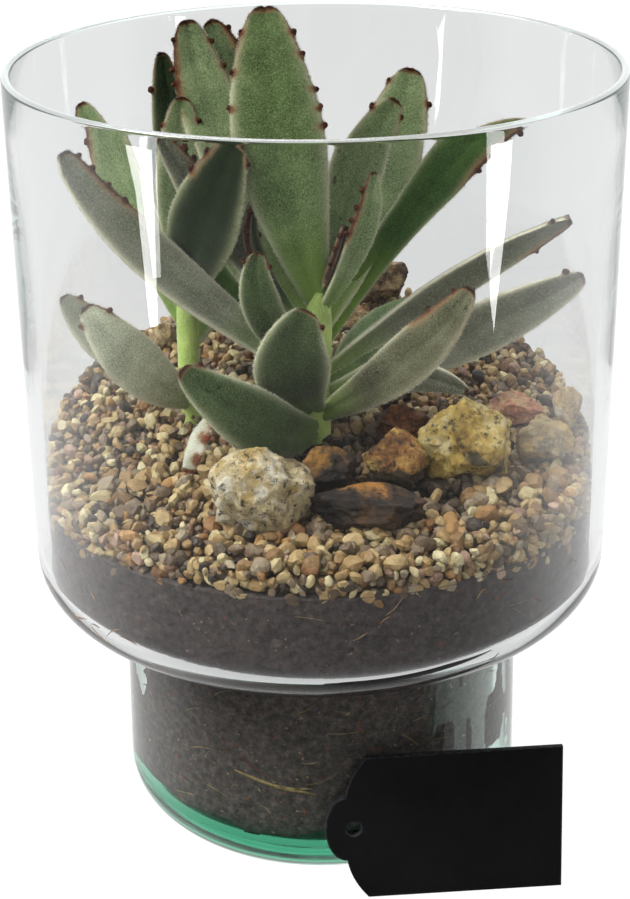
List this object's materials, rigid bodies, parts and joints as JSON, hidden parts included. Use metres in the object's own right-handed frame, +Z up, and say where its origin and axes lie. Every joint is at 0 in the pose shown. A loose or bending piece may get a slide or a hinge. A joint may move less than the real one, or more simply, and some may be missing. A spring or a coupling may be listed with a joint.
{
  "type": "glass plant terrarium",
  "caption": "Open glass jar on a narrower foot, filled with soil and gravel, with a felted succulent of long toothed leaves growing among small rocks and a bare tag at its foot.",
  "frame": {"origin": "middle of the jar's flat base, on the surface that it stands on", "axes": "+Z up along the jar's axis, -Y towards the front, where the tag leans"},
  "size_m": [0.19, 0.19, 0.272],
  "materials": {
    "jar_glass": "clear polished soda glass, faintly green where it is thick",
    "potting_soil": "dark moist potting compost of peat and bark fibre",
    "gravel": "washed mixed tan, cream and grey river gravel",
    "rock": "rough broken rock, from cream to yellow, brown and black",
    "leaf_felt": "thick green leaf covered in short white felt, with rust brown teeth",
    "stem_skin": "young pale green stem covered in short hair",
    "tag_board": "matt black board"
  },
  "bodies": {
    "root": {"glass_jar": "jar_glass", "soil": "potting_soil", "gravel_bed": "gravel", "main_stem": "stem_skin", "side_stem": "stem_skin", "stone_pale_large": "rock", "stone_dark_flat": "rock", "stone_brown": "rock", "stone_brown_yellow": "rock", "stone_striped": "rock", "stone_red": "rock", "stone_orange": "rock", "stone_grey_yellow": "rock", "stone_tan_side": "rock", "stone_back": "rock", "stone_back_low": "rock", "stone_back_left": "rock", "leaf_centre_tall": "leaf_felt", "leaf_centre_right": "leaf_felt", "leaf_back_right_tall": "leaf_felt", "leaf_centre_small": "leaf_felt", "leaf_bud": "leaf_felt", "leaf_right_high": "leaf_felt", "leaf_right_long": "leaf_felt", "leaf_right_wide": "leaf_felt", "leaf_right_front": "leaf_felt", "leaf_right_low": "leaf_felt", "leaf_front_upright": "leaf_felt", "leaf_front_low": "leaf_felt", "leaf_front_small": "leaf_felt", "leaf_curled_young": "leaf_felt", "leaf_left_long": "leaf_felt", "leaf_left_low": "leaf_felt", "leaf_left_low_back": "leaf_felt", "leaf_side_broad": "leaf_felt", "leaf_side_tall": "leaf_felt", "leaf_side_tall_back": "leaf_felt", "leaf_side_dark": "leaf_felt", "leaf_side_inner": "leaf_felt", "leaf_side_small": "leaf_felt", "leaf_left_high": "leaf_felt", "leaf_side_outer": "leaf_felt", "leaf_side_edge": "leaf_felt", "leaf_back_left": "leaf_felt", "leaf_back_middle": "leaf_felt", "leaf_back_right": "leaf_felt", "plain_tag": "tag_board"}
  },
  "joints": []
}
